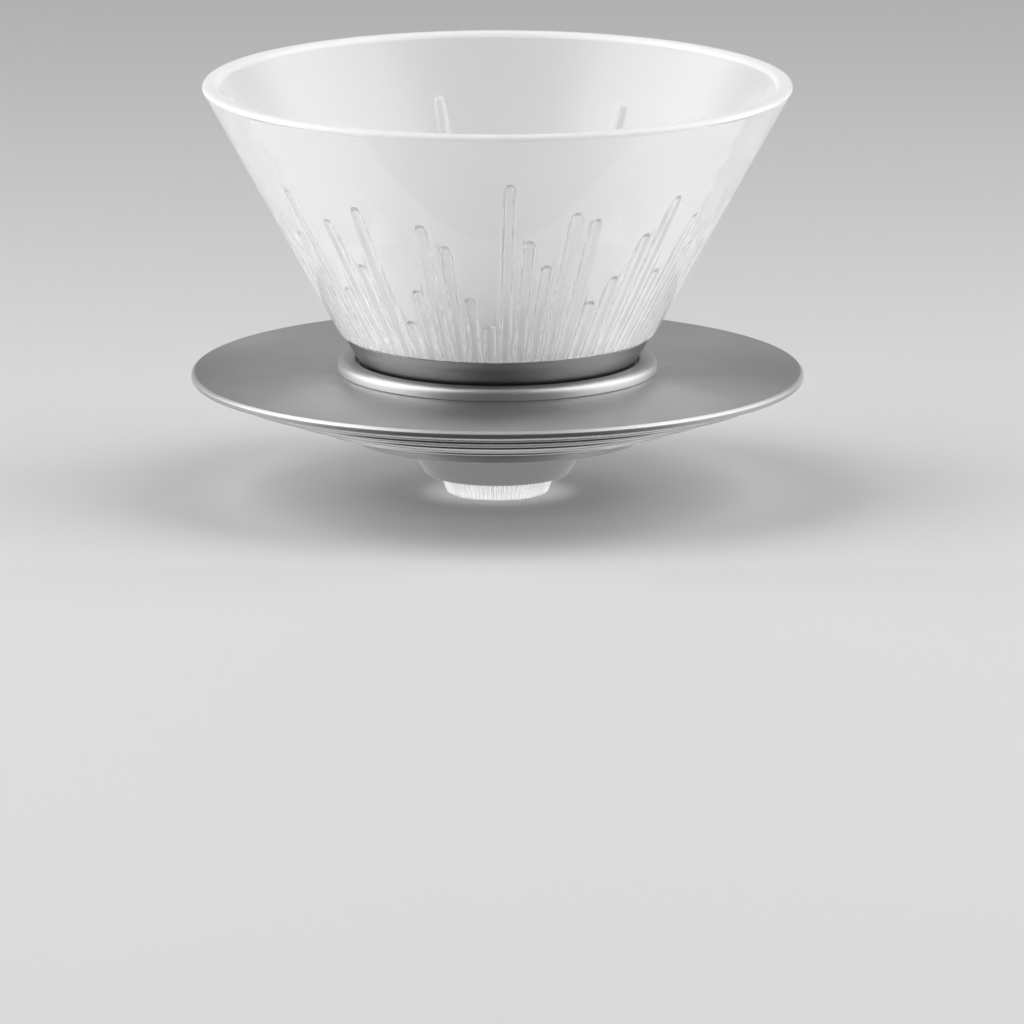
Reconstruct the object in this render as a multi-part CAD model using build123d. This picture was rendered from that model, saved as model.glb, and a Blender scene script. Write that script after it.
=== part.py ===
"""Pour over dripper: a ribbed cone that sits in a turned metal cup on a wide saucer.

Frame: millimetres, +Z up, the axis of the cone on Z, z = 0 on the underside of the seat
gasket, which is the face that rests on the mouth of a coffee server. Ribs are numbered
round the axis from -Y towards +X.
"""
from build123d import *
import math
import os

os.makedirs("parts", exist_ok=True)

# ---- driving dimensions (heights are measured from the outlet tip, then shifted by SEAT)
SEAT = 14.9                  # outlet tip to the face that rests on the server
SLOPE = math.tan(math.radians(30.0))    # inside of the cone and the cup: 60 degree cone

# filter cone
RIM_H = 81.7                 # rim height
RIM_R = 58.3                 # rim outer radius before its edge is rounded
RIM_BORE = 54.95             # rim inner radius
SHOULDER_H = 31.9            # flat shoulder that rests on the cone gasket
SHOULDER_R = 30.85           # its corner, where the straight outer wall starts
STEM_GAP = 0.45              # cone stem to cup bore
TIP_R = 9.8                  # outlet, outside
RIB_COUNT = 64
RIB_PROUD = 0.95             # how far a rib stands in from the wall
RIB_SINK = 0.5               # how deep a rib is rooted in the wall
RIB_WIDTH = 2.0              # widest rib
RIB_SHARE = 0.66             # rib width over rib pitch below that
RIB_FOOT_H = 1.2             # where the ribs start above the outlet tip

# tip height of each rib, from -Y round towards +X
RIB_TIPS = [
    71.3, 59.0, 53.5, 64.7, 63.1, 45.0, 50.0, 58.6, 66.0, 50.2, 61.0, 54.8, 64.8, 47.0, 58.0, 68.0,
    44.0, 61.0, 55.5, 60.5, 48.5, 60.0, 42.5, 61.5, 53.0, 57.5, 69.9, 55.0, 57.0, 50.5, 61.0, 43.5,
    61.5, 54.0, 70.2, 47.5, 59.5, 61.8, 51.5, 43.0, 60.0, 56.5, 61.9, 45.5, 60.5, 52.0, 61.0, 48.0,
    57.0, 68.0, 49.8, 60.0, 56.6, 66.0, 46.4, 61.1, 52.0, 64.7, 40.7, 47.6, 62.0, 57.7, 46.5, 40.4,
]

# holder cup
CUP_NOSE_H, CUP_NOSE_R = 3.9, 14.1
CUP_TOP_H = 31.75
CUP_LEDGE_H, CUP_LEDGE_R = 31.2, 29.45   # rebate for the cone gasket inside the lip
CUP_WALL = 1.8               # measured level, not square to the wall
OUTLET_RING_H = 7.2          # centre of the O-ring near the nose

# saucer disc
DISC_R = 60.0
DISC_TOP = 24.4
DISC_T = 1.6
DISC_BORE = 28.15

# clamp ring: flange above the disc, skirt down through it
FLANGE_TOP = 26.85
FLANGE_R = 31.3
SKIRT_R = 28.0
NECK_R = 26.4                # threaded neck below the skirt
SKIRT_END = 17.0
NECK_END = 12.2
BORE_GAP = 0.45              # clamp ring bore to the cup

# underside: base flange, lock ring and gaskets
BASE_R = 57.8
STEPS = [                    # slopes of the underside, each ending in a short upright face
    (57.8, 22.6), (54.2, 21.2), (54.2, 20.6), (50.5, 20.6), (46.7, 18.6), (46.7, 18.0),
    (42.5, 18.0), (38.7, 15.8), (38.7, 15.2),
]
LAND_H = 15.2
LOCK_R = 29.4
LOCK_END = 11.6
SEAT_IN, SEAT_OUT = 32.4, 37.4


def cup_r(h):
    """Outside radius of the cup's cone at height h."""
    return CUP_NOSE_R + SLOPE * (h - CUP_NOSE_H)


def bore_r(h):
    """Inside radius of the filter cone's wall at height h."""
    return RIM_BORE - SLOPE * (RIM_H - h)


def lathe(*pts):
    """Turn a closed profile of (radius, height from the tip) points about the axis."""
    with BuildPart() as p:
        with BuildSketch(Plane.XZ):
            with BuildLine():
                Polyline(*[(r, h - SEAT) for r, h in pts], close=True)
            make_face()
        revolve(axis=Axis.Z)
    return p.part


def ring_edges(part, r, h, tol=0.02):
    """The circular edge of the given radius and height."""
    found = []
    for e in part.edges():
        if e.geom_type == GeomType.CIRCLE:
            if abs(e.radius - r) < tol and abs(e.arc_center.Z - (h - SEAT)) < tol:
                found.append(e)
    return found


def save(part, name):
    solid = part.solids()[0] if isinstance(part, (Part, Compound)) else part
    export_step(solid, f"parts/{name}.step")


# ---- filter cone --------------------------------------------------------------------
stem_top = cup_r(SHOULDER_H) - CUP_WALL - STEM_GAP
stem_low = cup_r(CUP_NOSE_H + 0.4) - CUP_WALL - STEM_GAP
cone = lathe(
    (bore_r(0), 0), (TIP_R, 0), (11.2, CUP_NOSE_H - 0.4), (stem_low, CUP_NOSE_H + 0.4),
    (stem_top, SHOULDER_H), (SHOULDER_R, SHOULDER_H), (RIM_R, RIM_H), (RIM_BORE, RIM_H),
)
cone = fillet(ring_edges(cone, SHOULDER_R, SHOULDER_H), 0.9)
cone = fillet(ring_edges(cone, RIM_R, RIM_H), 1.1)
cone = fillet(ring_edges(cone, RIM_BORE, RIM_H), 1.0)
cone = fillet(ring_edges(cone, TIP_R, 0), 0.5)


def rib_section(h, proud, width, angle):
    """Level four-corner section of one rib, rooted in the wall at height h."""
    r = bore_r(h)
    c, s = math.sin(math.radians(angle)), -math.cos(math.radians(angle))
    pts = []
    for rad, side in ((r - proud, -1), (r - proud, 1), (r + RIB_SINK, 1), (r + RIB_SINK, -1)):
        pts.append(Vector(c * rad - s * side * width / 2, s * rad + c * side * width / 2, h - SEAT))
    return Wire.make_polygon(pts, close=True)


def rib(angle, tip):
    """One tapered rib: widens with the pitch, stays level, then dives into the wall."""
    def width(h):
        return min(RIB_WIDTH, RIB_SHARE * 2 * math.pi * bore_r(h) / RIB_COUNT)
    full_h = (RIB_WIDTH * RIB_COUNT / (RIB_SHARE * 2 * math.pi) - bore_r(0)) / SLOPE
    levels = [(RIB_FOOT_H, 0.35), (22.0, RIB_PROUD)]
    if full_h < tip - 4:
        levels.append((full_h, RIB_PROUD))
    levels.append((tip - 1.4, RIB_PROUD))
    wires = [rib_section(h, p, width(h), angle) for h, p in levels]
    wires.append(rib_section(tip, -RIB_SINK * 0.4, width(tip) * 0.35, angle))
    return Solid.make_loft(wires, ruled=True)


ribs = [rib((i + 0.5) * 360 / RIB_COUNT, t) for i, t in enumerate(RIB_TIPS)]
cone = cone.fuse(*ribs)
save(cone, "filter_cone")

# ---- holder cup and its two soft rings ----------------------------------------------
inner_top = cup_r(CUP_LEDGE_H) - CUP_WALL
g = OUTLET_RING_H
cup = lathe(
    (cup_r(CUP_NOSE_H) - CUP_WALL, CUP_NOSE_H), (cup_r(CUP_NOSE_H), CUP_NOSE_H),
    (cup_r(CUP_TOP_H), CUP_TOP_H), (CUP_LEDGE_R, CUP_TOP_H), (CUP_LEDGE_R, CUP_LEDGE_H),
    (inner_top, CUP_LEDGE_H),
    (cup_r(g + 0.8) - CUP_WALL, g + 0.8), (cup_r(g + 0.8) - 1.0, g + 0.8),
    (cup_r(g - 0.8) - 1.0, g - 0.8), (cup_r(g - 0.8) - CUP_WALL, g - 0.8),
)
cup = fillet(ring_edges(cup, cup_r(CUP_NOSE_H), CUP_NOSE_H), 0.4)
cup = fillet(ring_edges(cup, cup_r(CUP_TOP_H), CUP_TOP_H), 0.25)
save(cup, "holder_cup")

# washer under the shoulder of the cone
gasket_in, gasket_out = stem_top + 0.2, CUP_LEDGE_R - 0.05
gasket = lathe(
    (gasket_in, CUP_LEDGE_H), (gasket_out, CUP_LEDGE_H),
    (gasket_out, SHOULDER_H), (gasket_in, SHOULDER_H),
)
save(gasket, "cone_gasket")

# O-ring that centres the stem of the cone near the nose
ring_r = cup_r(g) - 1.0 - 0.62
with BuildPart() as o_ring:
    with BuildSketch(Plane.XZ):
        with Locations((ring_r, g - SEAT)):
            Circle(0.5)
    revolve(axis=Axis.Z)
save(o_ring.part, "outlet_o_ring")

# ---- clamp ring and the soft seat in its bore ---------------------------------------
lo, hi = 24.8, 26.0
clamp = lathe(
    (NECK_R - 2.4, NECK_END), (NECK_R, NECK_END), (NECK_R, SKIRT_END), (SKIRT_R, SKIRT_END),
    (SKIRT_R, DISC_TOP), (FLANGE_R, DISC_TOP), (FLANGE_R, FLANGE_TOP),
    (cup_r(FLANGE_TOP) + BORE_GAP, FLANGE_TOP), (cup_r(hi) + BORE_GAP, hi),
    (28.9, hi), (28.9, lo), (cup_r(lo) + BORE_GAP, lo), (cup_r(20.3) + BORE_GAP, 20.3),
)
clamp = fillet(ring_edges(clamp, FLANGE_R, FLANGE_TOP), 1.3)
clamp = fillet(ring_edges(clamp, cup_r(FLANGE_TOP) + BORE_GAP, FLANGE_TOP), 0.4)
save(clamp, "clamp_ring")

seat_ring = lathe(
    (cup_r(lo + 0.05) + 0.3, lo + 0.05), (28.85, lo + 0.05),
    (28.85, hi - 0.05), (cup_r(hi - 0.05) + 0.3, hi - 0.05),
)
save(seat_ring, "cup_seat_ring")

# ---- saucer disc ---------------------------------------------------------------------
disc_low = DISC_TOP - DISC_T
disc = lathe((DISC_BORE, disc_low), (DISC_R, disc_low), (DISC_R, DISC_TOP), (DISC_BORE, DISC_TOP))
disc = chamfer(ring_edges(disc, DISC_R, DISC_TOP), 0.55)
disc = fillet(ring_edges(disc, DISC_R, disc_low), 0.35)
save(disc, "saucer_disc")

washer = lathe((28.3, 22.2), (30.9, 22.2), (30.9, disc_low), (28.3, disc_low))
save(washer, "disc_washer")

# ---- base flange: stepped underside, pocketed from above, held by the lock ring ------
body = lathe(
    (NECK_R + 0.1, LAND_H), (SEAT_IN - 0.1, LAND_H), (SEAT_IN - 0.1, LAND_H + 0.7),
    (SEAT_OUT + 0.1, LAND_H + 0.7), (SEAT_OUT + 0.1, LAND_H), *reversed(STEPS),
    (BASE_R, disc_low),
    (52.0, disc_low), (50.0, 22.0), (46.0, 22.0), (44.2, 20.2), (40.8, 20.2), (38.6, 17.8),
    (34.0, 17.8), (34.0, disc_low), (31.0, disc_low), (31.0, 22.2), (28.1, 22.2),
    (28.1, SKIRT_END), (NECK_R + 0.1, SKIRT_END),
)
save(body, "base_flange")

lock = lathe(
    (NECK_R + 0.05, LOCK_END), (LOCK_R, LOCK_END), (LOCK_R, LAND_H), (NECK_R + 0.05, LAND_H),
)
lock = chamfer(ring_edges(lock, LOCK_R, LOCK_END), 0.3)
save(lock, "lock_ring")

pad = lathe(
    (SEAT_IN, SEAT), (SEAT_OUT, SEAT), (SEAT_OUT, LAND_H + 0.7), (SEAT_IN, LAND_H + 0.7),
)
save(pad, "seat_gasket")
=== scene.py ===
"""Pour over dripper: looks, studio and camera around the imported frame. Metres, +Z up."""
import math

import bmesh
import bpy
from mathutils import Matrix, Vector


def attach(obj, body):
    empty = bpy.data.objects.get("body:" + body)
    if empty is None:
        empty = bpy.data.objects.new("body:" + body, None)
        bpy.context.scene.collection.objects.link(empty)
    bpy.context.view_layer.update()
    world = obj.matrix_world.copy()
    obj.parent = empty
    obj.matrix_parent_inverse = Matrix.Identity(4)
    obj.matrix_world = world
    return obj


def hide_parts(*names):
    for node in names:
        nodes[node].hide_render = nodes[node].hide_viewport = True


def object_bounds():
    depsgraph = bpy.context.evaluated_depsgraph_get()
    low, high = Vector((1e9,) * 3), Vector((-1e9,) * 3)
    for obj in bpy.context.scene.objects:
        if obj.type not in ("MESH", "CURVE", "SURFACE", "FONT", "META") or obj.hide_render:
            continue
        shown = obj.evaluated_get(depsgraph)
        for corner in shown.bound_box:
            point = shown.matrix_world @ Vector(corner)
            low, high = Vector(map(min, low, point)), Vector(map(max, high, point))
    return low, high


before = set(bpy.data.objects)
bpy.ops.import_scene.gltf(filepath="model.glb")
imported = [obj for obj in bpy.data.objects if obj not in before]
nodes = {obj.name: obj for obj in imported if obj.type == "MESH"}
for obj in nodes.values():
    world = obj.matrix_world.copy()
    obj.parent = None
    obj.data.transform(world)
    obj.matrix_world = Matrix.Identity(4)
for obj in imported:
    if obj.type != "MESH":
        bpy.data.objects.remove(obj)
cad_low, cad_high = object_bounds()

# ---- driving measures, the part's own, in millimetres above the outlet tip ------------
SEAT = 14.9                    # outlet tip to the gasket face that rests on the server
SLOPE = math.tan(math.radians(30.0))    # inside of the cone and the cup: 60 degree cone

RIM_H = 81.7                   # rim height
RIM_R = 58.3                   # rim outer radius before its edge is rounded
RIM_BORE = 54.95               # rim inner radius
SHOULDER_H = 31.9              # flat shoulder that rests on the cone gasket
SHOULDER_R = 30.85             # its corner, where the straight outer wall starts
STEM_GAP = 0.45                # cone stem to cup bore
TIP_R = 9.8                    # outlet, outside
RIB_COUNT = 64
RIB_PROUD = 0.95               # how far a rib stands in from the wall
RIB_WIDTH = 2.0                # widest rib
RIB_SHARE = 0.70               # rib width over rib pitch below that
RIB_FOOT_H = 1.2               # where the ribs start above the outlet tip

# tip height of each rib, from -Y round towards +X
RIB_TIPS = [
    71.3, 59.0, 53.5, 64.7, 63.1, 45.0, 50.0, 58.6, 66.0, 50.2, 61.0, 54.8, 64.8, 47.0, 58.0, 68.0,
    44.0, 61.0, 55.5, 60.5, 48.5, 60.0, 42.5, 61.5, 53.0, 57.5, 69.9, 55.0, 57.0, 50.5, 61.0, 43.5,
    61.5, 54.0, 70.2, 47.5, 59.5, 61.8, 51.5, 43.0, 60.0, 56.5, 61.9, 45.5, 60.5, 52.0, 61.0, 48.0,
    57.0, 68.0, 49.8, 60.0, 56.6, 66.0, 46.4, 61.1, 52.0, 64.7, 40.7, 47.6, 62.0, 57.7, 46.5, 40.4,
]

CUP_NOSE_H, CUP_NOSE_R = 3.9, 14.1
CUP_TOP_H = 31.75
CUP_LEDGE_H, CUP_LEDGE_R = 31.2, 29.45   # rebate for the cone gasket inside the lip
CUP_WALL = 1.8                 # measured level, not square to the wall
OUTLET_RING_H = 7.2            # centre of the O-ring near the nose
GROOVE_HALF = 0.8              # half the height of the O-ring's groove
GROOVE_WALL = 1.0              # wall left behind that groove, measured level

DISC_R = 60.0
DISC_TOP, DISC_LOW = 24.4, 22.8
DISC_BORE = 28.15

FLANGE_TOP, FLANGE_R = 26.85, 31.3       # clamp ring above the disc
SKIRT_R, SKIRT_END = 28.0, 17.0          # clamp ring down through the disc
NECK_R, NECK_END = 26.4, 12.2            # threaded neck below the skirt
NECK_BORE = 24.0
BORE_GAP, BORE_END = 0.45, 20.3          # clamp ring bore to the cup, and its lower end
POCKET_LOW, POCKET_TOP, POCKET_R = 24.8, 26.0, 28.9     # room for the soft seat ring

BASE_R = 57.8
STEPS = [                      # slopes of the underside with their roundings, outside in
    (57.8, 22.6, 0), (54.2, 21.2, 0.2), (54.2, 20.6, 0.15), (50.5, 20.6, 0),
    (46.7, 18.6, 0.2), (46.7, 18.0, 0.15), (42.5, 18.0, 0), (38.7, 15.8, 0.2),
    (38.7, 15.2, 0.15),
]
LAND_H = 15.2                  # flat land of the underside that carries the seat gasket
GROOVE_TOP = 15.9              # top of the seat gasket's groove
LOCK_R, LOCK_END = 29.4, 11.6
SEAT_IN, SEAT_OUT = 32.4, 37.4


def cup_r(h):
    """Outside radius of the cup's cone at height h."""
    return CUP_NOSE_R + SLOPE * (h - CUP_NOSE_H)


def bore_r(h):
    """Inside radius of the filter cone's wall at height h."""
    return RIM_BORE - SLOPE * (RIM_H - h)


# ---- turned pieces --------------------------------------------------------------------
def profile_verts(bm, points):
    """Puts (radius, height) points of a profile into a bmesh, in its +X half plane."""
    return [bm.verts.new((r / 1000, 0, (h - SEAT) / 1000)) for r, h in points]


def round_corners(bm, verts, corners):
    """Rounds the corners of a profile by their third value, in millimetres."""
    for vert, (_, _, rounding) in zip(verts, corners):
        if rounding:
            bmesh.ops.bevel(bm, geom=[vert], offset=rounding / 1000, offset_type="OFFSET",
                            affect="VERTICES", segments=5, profile=0.5, material=-1)


def spin_round(bm, steps):
    """Spins a closed profile into a ring of faces round the axis."""
    bmesh.ops.spin(bm, geom=bm.verts[:] + bm.edges[:], cent=(0, 0, 0), axis=(0, 0, 1),
                   angle=2 * math.pi, steps=steps, use_merge=True)


def piece(name, bm, body, stands_for, crease=28):
    """Writes a bmesh to an object that rides on a body and stands for its CAD node."""
    mesh = bpy.data.meshes.new(name)
    bm.to_mesh(mesh)
    bm.free()
    for face in mesh.polygons:
        face.use_smooth = True
    mesh.set_sharp_from_angle(angle=math.radians(crease))
    made = bpy.data.objects.new(name, mesh)
    bpy.context.scene.collection.objects.link(made)
    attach(made, body)
    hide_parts(stands_for)
    return made


def turn(name, corners, body, stands_for, steps=256):
    """Spins a closed profile of (radius, height, rounding) corners into a piece on a body."""
    bm = bmesh.new()
    verts = profile_verts(bm, [(r, h) for r, h, _ in corners])
    for a, b in zip(verts, verts[1:] + verts[:1]):
        bm.edges.new((a, b))
    round_corners(bm, verts, corners)
    spin_round(bm, steps)
    bmesh.ops.recalc_face_normals(bm, faces=bm.faces[:])
    return piece(name, bm, body, stands_for)


groove_top, groove_low = OUTLET_RING_H + GROOVE_HALF, OUTLET_RING_H - GROOVE_HALF
holder_cup = turn("turned_cup", [
    (cup_r(CUP_NOSE_H) - CUP_WALL, CUP_NOSE_H, 0.2), (cup_r(CUP_NOSE_H), CUP_NOSE_H, 0.45),
    (cup_r(CUP_TOP_H), CUP_TOP_H, 0.25), (CUP_LEDGE_R, CUP_TOP_H, 0.15),
    (CUP_LEDGE_R, CUP_LEDGE_H, 0), (cup_r(CUP_LEDGE_H) - CUP_WALL, CUP_LEDGE_H, 0.15),
    (cup_r(groove_top) - CUP_WALL, groove_top, 0), (cup_r(groove_top) - GROOVE_WALL, groove_top, 0),
    (cup_r(groove_low) - GROOVE_WALL, groove_low, 0), (cup_r(groove_low) - CUP_WALL, groove_low, 0),
], "cup", "holder_cup")

clamp_ring = turn("rounded_clamp_ring", [
    (NECK_BORE, NECK_END, 0.2), (NECK_R, NECK_END, 0.2), (NECK_R, SKIRT_END, 0),
    (SKIRT_R, SKIRT_END, 0), (SKIRT_R, DISC_TOP, 0), (FLANGE_R, DISC_TOP, 0.25),
    (FLANGE_R, FLANGE_TOP, 1.3), (cup_r(FLANGE_TOP) + BORE_GAP, FLANGE_TOP, 0.45),
    (cup_r(POCKET_TOP) + BORE_GAP, POCKET_TOP, 0), (POCKET_R, POCKET_TOP, 0),
    (POCKET_R, POCKET_LOW, 0), (cup_r(POCKET_LOW) + BORE_GAP, POCKET_LOW, 0),
    (cup_r(BORE_END) + BORE_GAP, BORE_END, 0.3),
], "saucer", "clamp_ring")

saucer_disc = turn("saucer_plate", [
    (DISC_BORE, DISC_LOW, 0), (DISC_R, DISC_LOW, 0.35), (DISC_R, DISC_TOP - 0.55, 0.12),
    (DISC_R - 0.55, DISC_TOP, 0.12), (DISC_BORE, DISC_TOP, 0),
], "saucer", "saucer_disc", steps=384)

base_flange = turn("stepped_base", [
    (NECK_R + 0.1, LAND_H, 0), (SEAT_IN - 0.1, LAND_H, 0), (SEAT_IN - 0.1, GROOVE_TOP, 0),
    (SEAT_OUT + 0.1, GROOVE_TOP, 0), (SEAT_OUT + 0.1, LAND_H, 0), *reversed(STEPS),
    (BASE_R, DISC_LOW, 0), (52.0, DISC_LOW, 0), (50.0, 22.0, 0), (46.0, 22.0, 0),
    (44.2, 20.2, 0), (40.8, 20.2, 0), (38.6, 17.8, 0), (34.0, 17.8, 0), (34.0, DISC_LOW, 0),
    (31.0, DISC_LOW, 0), (31.0, 22.2, 0), (28.1, 22.2, 0), (28.1, SKIRT_END, 0),
    (NECK_R + 0.1, SKIRT_END, 0),
], "saucer", "base_flange")

lock_ring = turn("spigot_lock_ring", [
    (NECK_R + 0.05, LOCK_END, 0.2), (LOCK_R, LOCK_END, 0.3), (LOCK_R, LAND_H, 0),
    (NECK_R + 0.05, LAND_H, 0),
], "saucer", "lock_ring")

seat_gasket = turn("soft_seat_gasket", [
    (SEAT_IN, SEAT, 0.15), (SEAT_OUT, SEAT, 0.15), (SEAT_OUT, GROOVE_TOP, 0),
    (SEAT_IN, GROOVE_TOP, 0),
], "saucer", "seat_gasket")

# ---- filter cone, with its ribs drawn out of the inner wall ---------------------------
COLUMNS = 15                   # columns of faces to each rib and its gap
ON_RIB, IN_GAP = 0.34, 0.16    # their shares from a rib's middle: on the rib, then beside it
LEVELS = 30                    # rows of faces up the inner wall
FOOT_ROWS, TIP_ROWS = 12, 11   # rows below each rib's tip, and round it
BELOW_TIP, ABOVE_TIP = 1.5, 0.2          # how far the rows round a tip reach
TIP_LENGTH = 0.87              # length of a rib's rounded end over half its width
SQUARENESS = 4.5               # how full a rib's section is: 2 is round
FOOT_SHARE, FOOT_RISE = 0.35, 20         # a rib starts this low and is full this far up
INNER_TOP = RIM_H - 1.0        # where the inner wall meets the rounding of the rim
PITCH = 2 * math.pi / RIB_COUNT
GLASS_INSIDE, GLASS_RIM = 1, 2           # material slots of the cone, after the outside

stem_top = cup_r(SHOULDER_H) - CUP_WALL - STEM_GAP
stem_end = CUP_NOSE_H + 0.4
stem_low = cup_r(stem_end) - CUP_WALL - STEM_GAP
cone_corners = [
    (RIM_BORE, RIM_H, 0.62), (RIM_R, RIM_H, 1.75), (SHOULDER_R, SHOULDER_H, 0.8),
    (stem_top, SHOULDER_H, 0.15), (stem_low, stem_end, 0), (11.2, CUP_NOSE_H - 0.4, 0.3),
    (TIP_R, 0, 0.5), (bore_r(0), 0, 0.3),
]


def level_h(row):
    """Height of an even row of the inner wall, before the rows crowd round the tips."""
    return RIB_FOOT_H + (INNER_TOP - RIB_FOOT_H) * row / LEVELS


def row_height(rib, row):
    """Height of a row of the inner wall on one rib: rows crowd round the rib's tip."""
    tip = RIB_TIPS[rib % RIB_COUNT]
    low, high = tip - BELOW_TIP, tip + ABOVE_TIP
    if row <= FOOT_ROWS:
        return RIB_FOOT_H + (low - RIB_FOOT_H) * row / FOOT_ROWS
    if row <= FOOT_ROWS + TIP_ROWS:
        return low + (high - low) * (row - FOOT_ROWS) / TIP_ROWS
    share = (row - FOOT_ROWS - TIP_ROWS) / (LEVELS - FOOT_ROWS - TIP_ROWS)
    return high + (INNER_TOP - high) * share


def rib_shape(across, above):
    """Share of a rib's full height at a place across it and above its rounded tip."""
    away = math.hypot(across, max(above, 0.0))
    if away >= 1:
        return 0.0
    return (1 - away ** SQUARENESS) ** 0.5


def draw_rib(vert, h):
    """Moves a vertex of the even inner wall, at height h, to its place on rib or gap."""
    row = round((h - RIB_FOOT_H) / (INNER_TOP - RIB_FOOT_H) * LEVELS)
    turned = (math.atan2(vert.co.x, -vert.co.y) / PITCH) % RIB_COUNT    # ribs from -Y to +X
    rib = int(turned)
    column = round((turned - rib) * COLUMNS - 0.5)
    share = (column - (COLUMNS - 1) / 2) / COLUMNS        # -0.5 to 0.5 across the pitch
    side = 1 if share > 0 else -1
    own = row_height(rib, row)
    far = row_height(rib + side, row)
    gap_share = max(0.0, (abs(share) - ON_RIB) / IN_GAP)
    h = own + (far - own) * 0.5 * gap_share
    r = bore_r(h)
    width = min(RIB_WIDTH, RIB_SHARE * PITCH * r)
    half = width / 2 / r / PITCH                          # half the rib, in ribs
    if abs(share) <= ON_RIB:
        place = share / ON_RIB * half
    else:
        place = side * (half + (abs(share) - ON_RIB) / IN_GAP * (0.5 - half))
    end = width / 2 * TIP_LENGTH
    above = (h - RIB_TIPS[rib] + end) / end
    foot = min(1.0, FOOT_SHARE + (1 - FOOT_SHARE) * (h - RIB_FOOT_H) / FOOT_RISE)
    r -= RIB_PROUD * foot * rib_shape(abs(place) / half, above)
    angle = (rib + 0.5 + place) * PITCH
    vert.co = (r / 1000 * math.sin(angle), -r / 1000 * math.cos(angle), (h - SEAT) / 1000)


cone_bm = bmesh.new()
chain = profile_verts(cone_bm, [(r, h) for r, h, _ in cone_corners])
for a, b in zip(chain, chain[1:]):
    cone_bm.edges.new((a, b))
wall = profile_verts(cone_bm, [(bore_r(level_h(row)), level_h(row)) for row in range(LEVELS + 1)])
for a, b in zip([chain[-1]] + wall, wall + [chain[0]]):
    cone_bm.edges.new((a, b))
round_corners(cone_bm, chain, cone_corners)
spin_round(cone_bm, RIB_COUNT * COLUMNS)

for vert in cone_bm.verts:
    r, h = math.hypot(vert.co.x, vert.co.y) * 1000, vert.co.z * 1000 + SEAT
    on_wall = abs(r - bore_r(h)) <= 0.002
    if on_wall and RIB_FOOT_H - 0.01 < h < INNER_TOP + 0.01:
        draw_rib(vert, h)

bmesh.ops.recalc_face_normals(cone_bm, faces=cone_bm.faces[:])
for face in cone_bm.faces:
    centre = face.calc_center_median()
    if centre.z * 1000 + SEAT > INNER_TOP:
        face.material_index = GLASS_RIM
    elif centre.xy.dot(face.normal.xy) < 0:
        face.material_index = GLASS_INSIDE
filter_cone = piece("ribbed_cone", cone_bm, "cone", "filter_cone", crease=85)


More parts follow.
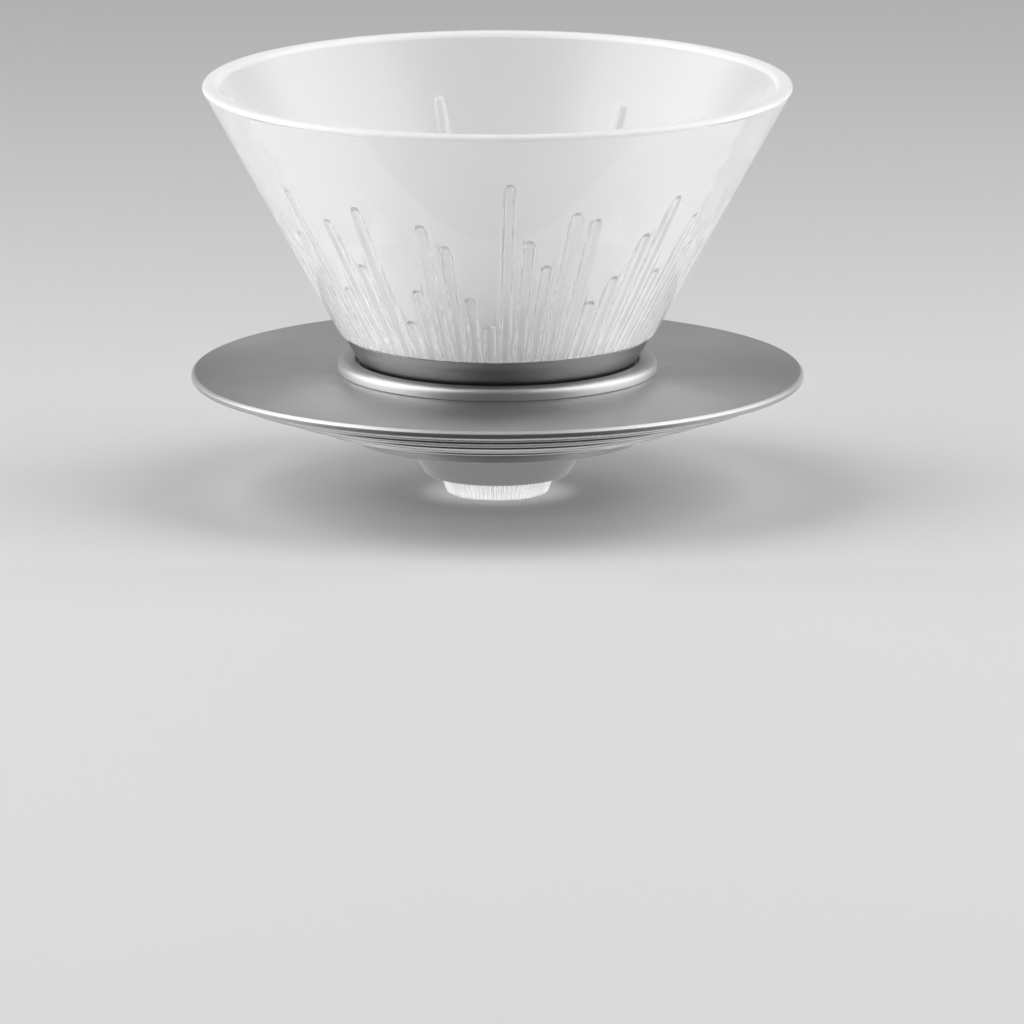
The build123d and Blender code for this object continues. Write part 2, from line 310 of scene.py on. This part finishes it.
# ---- materials ------------------------------------------------------------------------
def satin_metal(name, tone, roughness, line_depth, grain_depth, stretch):
    """Anodised aluminium: fine lathe lines, a blasted grain and faint cloudiness."""
    mat = bpy.data.materials.new(name)
    mat.use_nodes = True
    tree = mat.node_tree
    tree.nodes.clear()

    place = tree.nodes.new("ShaderNodeTexCoord")
    place.label = "Place on the piece"
    apart = tree.nodes.new("ShaderNodeSeparateXYZ")
    apart.label = "Split place"
    flat = tree.nodes.new("ShaderNodeCombineXYZ")
    flat.label = "Place seen from above"
    radius = tree.nodes.new("ShaderNodeVectorMath")
    radius.label = "Distance from the axis"
    turned_at = tree.nodes.new("ShaderNodeCombineXYZ")
    turned_at.label = "Distance and height"
    lines = tree.nodes.new("ShaderNodeTexNoise")
    lines.label = "Lathe lines"
    grain = tree.nodes.new("ShaderNodeTexNoise")
    grain.label = "Blasted grain"
    cloud = tree.nodes.new("ShaderNodeTexNoise")
    cloud.label = "Cloudiness of the anodising"
    tint = tree.nodes.new("ShaderNodeMix")
    tint.label = "Metal colour"
    gloss = tree.nodes.new("ShaderNodeMapRange")
    gloss.label = "Roughness from the cloudiness"
    line_bump = tree.nodes.new("ShaderNodeBump")
    line_bump.label = "Relief of the lathe lines"
    grain_bump = tree.nodes.new("ShaderNodeBump")
    grain_bump.label = "Relief of the grain"
    around = tree.nodes.new("ShaderNodeTangent")
    around.label = "Direction of turning"
    metal = tree.nodes.new("ShaderNodeBsdfPrincipled")
    metal.label = "Satin aluminium"
    out = tree.nodes.new("ShaderNodeOutputMaterial")
    out.label = "Surface"

    relief = tree.nodes.new("NodeFrame")
    relief.label = "Turned and blasted relief"
    colour = tree.nodes.new("NodeFrame")
    colour.label = "Colour and gloss"
    for node in (apart, flat, radius, turned_at, lines, grain, line_bump, grain_bump):
        node.parent = relief
    for node in (cloud, tint, gloss):
        node.parent = colour

    places = {
        place: (-1300, 0), apart: (-1100, 160), flat: (-920, 220), radius: (-740, 220),
        turned_at: (-560, 160), lines: (-380, 160), line_bump: (-180, 160),
        grain: (-380, -120), grain_bump: (20, 60), cloud: (-560, -420), tint: (-180, -320),
        gloss: (-180, -560), around: (20, -200), metal: (240, 0), out: (540, 0),
    }
    for node, spot in places.items():
        node.location = spot

    radius.operation = "LENGTH"
    lines.noise_dimensions = "3D"
    lines.inputs["Scale"].default_value = 2600.0
    lines.inputs["Detail"].default_value = 2.0
    grain.inputs["Scale"].default_value = 3200.0
    grain.inputs["Detail"].default_value = 3.0
    cloud.inputs["Scale"].default_value = 55.0
    cloud.inputs["Detail"].default_value = 3.0
    tint.data_type = "RGBA"
    tint.inputs[6].default_value = (tone * 0.94, tone * 0.94, tone * 0.95, 1)
    tint.inputs[7].default_value = (tone * 1.05, tone * 1.045, tone * 1.04, 1)
    gloss.inputs["From Min"].default_value = 0.3
    gloss.inputs["From Max"].default_value = 0.7
    gloss.inputs["To Min"].default_value = roughness - 0.03
    gloss.inputs["To Max"].default_value = roughness + 0.04
    line_bump.inputs["Strength"].default_value = 0.5
    line_bump.inputs["Distance"].default_value = line_depth / 1000
    grain_bump.inputs["Strength"].default_value = 0.5
    grain_bump.inputs["Distance"].default_value = grain_depth / 1000
    around.direction_type = "RADIAL"
    around.axis = "Z"
    metal.inputs["Metallic"].default_value = 1.0
    metal.inputs["Anisotropic"].default_value = stretch

    tree.links.new(place.outputs["Object"], apart.inputs["Vector"])
    tree.links.new(apart.outputs["X"], flat.inputs["X"])
    tree.links.new(apart.outputs["Y"], flat.inputs["Y"])
    tree.links.new(flat.outputs["Vector"], radius.inputs[0])
    tree.links.new(radius.outputs["Value"], turned_at.inputs["X"])
    tree.links.new(apart.outputs["Z"], turned_at.inputs["Z"])
    tree.links.new(turned_at.outputs["Vector"], lines.inputs["Vector"])
    tree.links.new(place.outputs["Object"], grain.inputs["Vector"])
    tree.links.new(place.outputs["Object"], cloud.inputs["Vector"])
    tree.links.new(lines.outputs["Fac"], line_bump.inputs["Height"])
    tree.links.new(grain.outputs["Fac"], grain_bump.inputs["Height"])
    tree.links.new(line_bump.outputs["Normal"], grain_bump.inputs["Normal"])
    tree.links.new(cloud.outputs["Fac"], tint.inputs["Factor"])
    tree.links.new(cloud.outputs["Fac"], gloss.inputs["Value"])
    tree.links.new(tint.outputs[2], metal.inputs["Base Color"])
    tree.links.new(gloss.outputs["Result"], metal.inputs["Roughness"])
    tree.links.new(grain_bump.outputs["Normal"], metal.inputs["Normal"])
    tree.links.new(around.outputs["Tangent"], metal.inputs["Tangent"])
    tree.links.new(metal.outputs["BSDF"], out.inputs["Surface"])
    return mat


WALL_TONE = 0.98               # tint of the cone, a little milky
RIPPLE = 0.01                  # depth of the ripples of the mould, in millimetres


def clear_wall(name, roughness, transmission, through):
    """Pressed translucent wall: clear, slightly milky, with faint ripples of the mould."""
    mat = bpy.data.materials.new(name)
    mat.use_nodes = True
    tree = mat.node_tree
    tree.nodes.clear()

    place = tree.nodes.new("ShaderNodeTexCoord")
    place.label = "Place on the cone"
    wave = tree.nodes.new("ShaderNodeTexNoise")
    wave.label = "Slow ripple of the wall"
    haze = tree.nodes.new("ShaderNodeTexNoise")
    haze.label = "Slow haze"
    tint = tree.nodes.new("ShaderNodeMix")
    tint.label = "Milky tint"
    gloss = tree.nodes.new("ShaderNodeMapRange")
    gloss.label = "Roughness from the haze"
    bump = tree.nodes.new("ShaderNodeBump")
    bump.label = "Relief of the ripple"
    glass = tree.nodes.new("ShaderNodeBsdfPrincipled")
    glass.label = "Translucent wall"
    ray = tree.nodes.new("ShaderNodeLightPath")
    ray.label = "Rays from the lamps"
    let_through = tree.nodes.new("ShaderNodeBsdfTransparent")
    let_through.label = "Lamp light that gets through"
    both = tree.nodes.new("ShaderNodeMixShader")
    both.label = "Wall, open to the lamps"
    out = tree.nodes.new("ShaderNodeOutputMaterial")
    out.label = "Surface"

    relief = tree.nodes.new("NodeFrame")
    relief.label = "Ripple"
    colour = tree.nodes.new("NodeFrame")
    colour.label = "Haze"
    for node in (wave, bump):
        node.parent = relief
    for node in (haze, tint, gloss):
        node.parent = colour
    lamps = tree.nodes.new("NodeFrame")
    lamps.label = "Light through the wall"
    for node in (ray, let_through):
        node.parent = lamps

    places = {
        place: (-900, 0), wave: (-640, 160), bump: (-380, 160), haze: (-640, -180),
        tint: (-380, -120), gloss: (-380, -380), glass: (-60, 0), ray: (-60, 420),
        let_through: (-60, 160), both: (280, 120), out: (500, 120),
    }
    for node, spot in places.items():
        node.location = spot

    wave.inputs["Scale"].default_value = 60.0
    wave.inputs["Detail"].default_value = 1.0
    haze.inputs["Scale"].default_value = 28.0
    haze.inputs["Detail"].default_value = 0.0
    tint.data_type = "RGBA"
    tint.inputs[6].default_value = (WALL_TONE * 0.985, WALL_TONE * 0.99, WALL_TONE * 0.99, 1)
    tint.inputs[7].default_value = (WALL_TONE, WALL_TONE, WALL_TONE, 1)
    gloss.inputs["From Min"].default_value = 0.3
    gloss.inputs["From Max"].default_value = 0.7
    gloss.inputs["To Min"].default_value = roughness * 0.96
    gloss.inputs["To Max"].default_value = roughness * 1.1
    bump.inputs["Strength"].default_value = 0.3
    bump.inputs["Distance"].default_value = RIPPLE / 1000
    glass.inputs["IOR"].default_value = 1.47
    glass.inputs["Transmission Weight"].default_value = transmission
    let_through.inputs["Color"].default_value = (through, through, through, 1)

    tree.links.new(place.outputs["Object"], wave.inputs["Vector"])
    tree.links.new(place.outputs["Object"], haze.inputs["Vector"])
    tree.links.new(wave.outputs["Fac"], bump.inputs["Height"])
    tree.links.new(haze.outputs["Fac"], tint.inputs["Factor"])
    tree.links.new(haze.outputs["Fac"], gloss.inputs["Value"])
    tree.links.new(tint.outputs[2], glass.inputs["Base Color"])
    tree.links.new(gloss.outputs["Result"], glass.inputs["Roughness"])
    tree.links.new(bump.outputs["Normal"], glass.inputs["Normal"])
    tree.links.new(ray.outputs["Is Shadow Ray"], both.inputs[0])
    tree.links.new(glass.outputs["BSDF"], both.inputs[1])
    tree.links.new(let_through.outputs["BSDF"], both.inputs[2])
    tree.links.new(both.outputs["Shader"], out.inputs["Surface"])
    return mat


def silicone(name, tone):
    """Moulded silicone: matt, slightly see-through at the edges, with a fine skin."""
    mat = bpy.data.materials.new(name)
    mat.use_nodes = True
    tree = mat.node_tree
    tree.nodes.clear()

    place = tree.nodes.new("ShaderNodeTexCoord")
    place.label = "Place on the piece"
    skin = tree.nodes.new("ShaderNodeTexNoise")
    skin.label = "Moulded skin"
    dust = tree.nodes.new("ShaderNodeTexNoise")
    dust.label = "Dust and bloom"
    tint = tree.nodes.new("ShaderNodeMix")
    tint.label = "Silicone colour"
    bump = tree.nodes.new("ShaderNodeBump")
    bump.label = "Relief of the skin"
    rubber = tree.nodes.new("ShaderNodeBsdfPrincipled")
    rubber.label = "Silicone"
    out = tree.nodes.new("ShaderNodeOutputMaterial")
    out.label = "Surface"

    relief = tree.nodes.new("NodeFrame")
    relief.label = "Skin"
    colour = tree.nodes.new("NodeFrame")
    colour.label = "Colour"
    for node in (skin, bump):
        node.parent = relief
    for node in (dust, tint):
        node.parent = colour

    places = {
        place: (-900, 0), skin: (-640, 160), bump: (-380, 160), dust: (-640, -180),
        tint: (-380, -120), rubber: (-60, 0), out: (260, 0),
    }
    for node, spot in places.items():
        node.location = spot

    skin.inputs["Scale"].default_value = 1800.0
    skin.inputs["Detail"].default_value = 2.0
    dust.inputs["Scale"].default_value = 160.0
    dust.inputs["Detail"].default_value = 4.0
    tint.data_type = "RGBA"
    tint.inputs[6].default_value = (tone * 0.95, tone * 0.95, tone * 0.94, 1)
    tint.inputs[7].default_value = (tone * 1.04, tone * 1.04, tone * 1.03, 1)
    bump.inputs["Strength"].default_value = 0.4
    bump.inputs["Distance"].default_value = 0.00003
    rubber.inputs["Roughness"].default_value = 0.55
    rubber.inputs["IOR"].default_value = 1.41
    rubber.inputs["Subsurface Weight"].default_value = 0.3
    rubber.inputs["Subsurface Radius"].default_value = (0.0015, 0.0015, 0.0014)

    tree.links.new(place.outputs["Object"], skin.inputs["Vector"])
    tree.links.new(place.outputs["Object"], dust.inputs["Vector"])
    tree.links.new(skin.outputs["Fac"], bump.inputs["Height"])
    tree.links.new(dust.outputs["Fac"], tint.inputs["Factor"])
    tree.links.new(tint.outputs[2], rubber.inputs["Base Color"])
    tree.links.new(bump.outputs["Normal"], rubber.inputs["Normal"])
    tree.links.new(rubber.outputs["BSDF"], out.inputs["Surface"])
    return mat


def studio_paint(name, tone, roughness):
    """Matt paint of the studio floor and cards."""
    mat = bpy.data.materials.new(name)
    mat.use_nodes = True
    tree = mat.node_tree
    tree.nodes.clear()

    paint = tree.nodes.new("ShaderNodeBsdfPrincipled")
    paint.label = "Matt paint"
    paint.location = (0, 0)
    out = tree.nodes.new("ShaderNodeOutputMaterial")
    out.label = "Surface"
    out.location = (320, 0)

    paint.inputs["Base Color"].default_value = (tone, tone, tone, 1)
    paint.inputs["Roughness"].default_value = roughness

    tree.links.new(paint.outputs["BSDF"], out.inputs["Surface"])
    return mat


# relief depths in millimetres
plate_metal = satin_metal("saucer_satin_aluminium", tone=0.50, roughness=0.40,
                          line_depth=0.004, grain_depth=0.004, stretch=0.55)
# the cup is the same aluminium as the saucer, toned down to 0.27 as painted shade for the dark
# reflections on its cone and nose
cup_metal_painted_dark = satin_metal("cup_turned_aluminium_painted_dark", tone=0.27, roughness=0.32,
                        line_depth=0.004, grain_depth=0.002, stretch=0.3)
ring_metal = satin_metal("clamp_ring_blasted_aluminium", tone=0.50, roughness=0.46,
                         line_depth=0.002, grain_depth=0.005, stretch=0.0)
base_metal = satin_metal("base_turned_aluminium", tone=0.45, roughness=0.20,
                         line_depth=0.003, grain_depth=0.002, stretch=0.4)
# the lock ring is the same aluminium, toned down to 0.24 as painted shade for the dark reflection
# on its upright wall
lock_metal_painted_dark = satin_metal("lock_ring_turned_aluminium_painted_dark", tone=0.24, roughness=0.26,
                         line_depth=0.004, grain_depth=0.002, stretch=0.3)
outer_glass = clear_wall("cone_polished_outside", roughness=0.03, transmission=0.88,
                         through=0.90)
inner_glass = clear_wall("cone_hazy_inside", roughness=0.30, transmission=0.72, through=0.60)
rim_glass = clear_wall("cone_milky_rim", roughness=0.30, transmission=0.25, through=0.90)
clear_silicone = silicone("clear_silicone", tone=0.78)
grey_silicone = silicone("grey_silicone", tone=0.55)

for made, mats in (
    (filter_cone, (outer_glass, inner_glass, rim_glass)), (holder_cup, (cup_metal_painted_dark,)),
    (clamp_ring, (ring_metal,)), (saucer_disc, (plate_metal,)), (base_flange, (base_metal,)),
    (lock_ring, (lock_metal_painted_dark,)), (seat_gasket, (grey_silicone,)),
):
    for mat in mats:
        made.data.materials.append(mat)
for name, mat in (
    ("cone_gasket", clear_silicone), ("outlet_o_ring", clear_silicone),
    ("cup_seat_ring", grey_silicone), ("disc_washer", grey_silicone),
):
    for slot in nodes[name].material_slots:
        slot.material = mat

# ---- studio ---------------------------------------------------------------------------
FLOOR_Z = cad_low.z
FLOOR_HALF = 12                # half the floor's width
LIGHTS_AIM = (0, 0, 0.02)


def faced(spot, target, front):
    """Rotation that turns an object's front axis from its spot to the target."""
    return (Vector(target) - Vector(spot)).to_track_quat(front, "Y").to_euler()


def flat_mesh(name, width, depth, height=0.0):
    """A flat rectangle round the origin, at a height."""
    bm = bmesh.new()
    bmesh.ops.create_grid(bm, x_segments=1, y_segments=1, size=0.5)
    bmesh.ops.scale(bm, vec=(width, depth, 1), verts=bm.verts[:])
    bmesh.ops.translate(bm, vec=(0, 0, height), verts=bm.verts[:])
    mesh = bpy.data.meshes.new(name)
    bm.to_mesh(mesh)
    bm.free()
    return mesh


def card(name, size, spot, target, mat):
    """A flat card of the studio that faces the target and that the camera doesn't see."""
    made = bpy.data.objects.new(name, flat_mesh(name, *size))
    bpy.context.scene.collection.objects.link(made)
    made.location = spot
    made.rotation_euler = faced(spot, target, "Z")
    made.data.materials.append(mat)
    made.visible_camera = False
    return made


def soft_light(name, size, power, spot, target):
    """A rectangular soft box facing the target."""
    data = bpy.data.lights.new(name, "AREA")
    data.shape = "RECTANGLE"
    data.size, data.size_y = size
    data.energy = power
    made = bpy.data.objects.new(name, data)
    bpy.context.scene.collection.objects.link(made)
    made.location = spot
    made.rotation_euler = faced(spot, target, "-Z")
    made.visible_camera = False
    return made


floor_mesh = flat_mesh("studio_floor", 2 * FLOOR_HALF, 2 * FLOOR_HALF, FLOOR_Z)
floor = bpy.data.objects.new("studio_floor", floor_mesh)
bpy.context.scene.collection.objects.link(floor)
floor.data.materials.append(studio_paint("pale_floor", tone=0.66, roughness=0.6))

soft_light("left_soft_box", (2.1, 2.0), 38, (-1.2, 0.05, 0.78), LIGHTS_AIM)
soft_light("right_soft_box", (2.1, 2.0), 35, (1.2, 0.10, 0.78), LIGHTS_AIM)
soft_light("back_soft_box", (2.4, 0.9), 3.0, (0.0, 1.9, 0.55), (0, 0, 0.1))
soft_light("under_light", (0.14, 0.12), 0.032, (0.0, 0.01, FLOOR_Z + 0.0004), (0, 0.01, 1))

# flags shade the far floor; the low card shows only in what the metal and glass mirror
black = studio_paint("black_card", tone=0.01, roughness=0.8)
card("front_black_card", (1.3, 1.1), (0.0, -1.2, 0.50), (0, 0, 0.30), black)
card("left_flag", (0.8, 0.56), (-0.45, 0.70, 0.48), (0, 0.70, 0.48), black)
card("right_flag", (0.8, 0.56), (0.45, 0.70, 0.48), (0, 0.70, 0.48), black)
low_card = card("low_black_card", (0.7, 0.44), (0.0, -0.29, FLOOR_Z + 0.0006), (0, -0.29, 1), black)
low_card.visible_shadow = False
low_card.visible_diffuse = False
low_card.visible_transmission = False

air = bpy.data.worlds.new("studio_air")
bpy.context.scene.world = air
air.use_nodes = True
glow = air.node_tree.nodes["Background"]
glow.inputs["Color"].default_value = (0.9, 0.9, 0.9, 1)
glow.inputs["Strength"].default_value = 0.05
bpy.context.scene.view_settings.view_transform = "Standard"

# ---- camera ---------------------------------------------------------------------------
ELEVATION = math.radians(12.1)
DISTANCE = 2.947               # camera to its aim
AIM = Vector((0.00285, 0, -0.0191))

camera = bpy.data.objects.new("camera", bpy.data.cameras.new("camera"))
bpy.context.scene.collection.objects.link(camera)
camera.data.lens = 527.3
camera.data.sensor_width = 36.0
camera.data.clip_start, camera.data.clip_end = 0.1, 20.0
camera.location = AIM + Vector((0, -math.cos(ELEVATION), math.sin(ELEVATION))) * DISTANCE
camera.rotation_euler = (math.pi / 2 - ELEVATION, 0, 0)
bpy.context.scene.camera = camera
